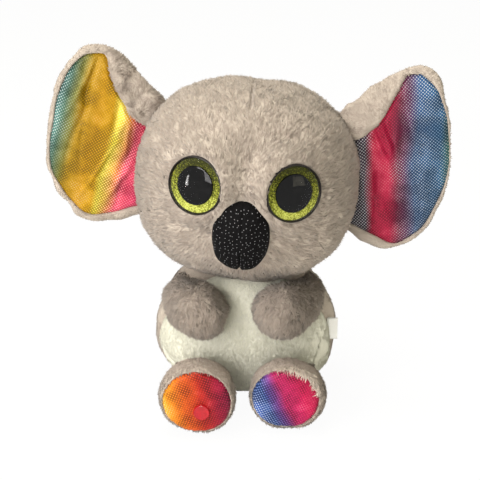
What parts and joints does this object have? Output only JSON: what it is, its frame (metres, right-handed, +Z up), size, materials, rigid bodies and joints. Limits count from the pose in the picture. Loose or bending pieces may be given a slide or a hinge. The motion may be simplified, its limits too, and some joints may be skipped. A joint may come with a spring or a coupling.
{
  "type": "plush koala",
  "caption": "Seated stuffed koala with a turning head, large glitter eyes, padded nose, folding foil-lined ears, swinging arms and splaying legs with foil soles.",
  "frame": {"origin": "middle of the seat, on the surface that the toy sits on", "axes": "+Z up, -Y the way the face looks, +X the koala's own left side"},
  "size_m": [0.2755, 0.158, 0.2481],
  "materials": {
    "grey_fur": "short pile",
    "white_fur": "short pile",
    "fibre": "loose fibre",
    "pellets": "matt",
    "gold_foil": "metallic foil print",
    "violet_foil": "metallic foil print",
    "red_foil": "metallic foil print",
    "nose_cloth": "matt with glitter dots",
    "black_plastic": "gloss",
    "glitter_film": "glitter",
    "clear_plastic": "clear gloss",
    "washer_plastic": "matt",
    "red_plastic": "gloss",
    "satin": "satin"
  },
  "bodies": {
    "body": {"belly_panel": "white_fur", "back_panel": "grey_fur", "body_stuffing": "fibre", "pellet_bag": "pellets", "side_tag": "satin"},
    "head": {"head_cover": "grey_fur", "head_stuffing": "fibre", "nose_cover": "nose_cloth", "nose_stuffing": "fibre", "eye_cup_left": "black_plastic", "eye_iris_left": "glitter_film", "eye_pupil_left": "black_plastic", "eye_lens_left": "clear_plastic", "eye_washer_left": "washer_plastic", "eye_cup_right": "black_plastic", "eye_iris_right": "glitter_film", "eye_pupil_right": "black_plastic", "eye_lens_right": "clear_plastic", "eye_washer_right": "washer_plastic"},
    "ear_left": {"ear_back_left": "grey_fur", "ear_lining_left": "violet_foil", "ear_padding_left": "fibre"},
    "arm_left": {"arm_cover_left": "grey_fur", "arm_stuffing_left": "fibre"},
    "leg_left": {"leg_cover_left": "grey_fur", "leg_stuffing_left": "fibre", "sole_left": "violet_foil"},
    "ear_right": {"ear_back_right": "grey_fur", "ear_lining_right": "gold_foil", "ear_padding_right": "fibre"},
    "arm_right": {"arm_cover_right": "grey_fur", "arm_stuffing_right": "fibre"},
    "leg_right": {"leg_cover_right": "grey_fur", "leg_stuffing_right": "fibre", "sole_right": "red_foil", "badge": "red_plastic"}
  },
  "joints": [
    {"name": "head_turn", "type": "hinge", "parent": "body", "child": "head", "pos_m": [-0.0037, -0.005, 0.0907], "axis": [0.0698, 0, 0.9976], "range_deg": [-15, 15], "stiffness_Nm_per_rad": 0.5},
    {"name": "ear_fold_left", "type": "hinge", "parent": "head", "child": "ear_left", "pos_m": [0.06842, 0.003, 0.15633], "axis": [-0.0419, 0, 0.9991], "range_deg": [-20, 20], "stiffness_Nm_per_rad": 0.1},
    {"name": "arm_swing_left", "type": "hinge", "parent": "body", "child": "arm_left", "pos_m": [0.0435, -0.009, 0.0715], "axis": [0, 0, 1], "range_deg": [0, 55], "stiffness_Nm_per_rad": 0.1},
    {"name": "leg_splay_left", "type": "hinge", "parent": "body", "child": "leg_left", "pos_m": [0.0311, -0.0365, 0.0272], "axis": [0, 0, 1], "range_deg": [0, 30], "stiffness_Nm_per_rad": 0.1},
    {"name": "ear_fold_right", "type": "hinge", "parent": "head", "child": "ear_right", "pos_m": [-0.06599, 0.003, 0.16573], "axis": [0.2147, 0, 0.9767], "range_deg": [-20, 20], "stiffness_Nm_per_rad": 0.1},
    {"name": "arm_swing_right", "type": "hinge", "parent": "body", "child": "arm_right", "pos_m": [-0.0435, -0.009, 0.0715], "axis": [0, 0, 1], "range_deg": [-55, 0], "stiffness_Nm_per_rad": 0.1},
    {"name": "leg_splay_right", "type": "hinge", "parent": "body", "child": "leg_right", "pos_m": [-0.0289, -0.0365, 0.0272], "axis": [0, 0, 1], "range_deg": [-30, 0], "stiffness_Nm_per_rad": 0.1}
  ]
}
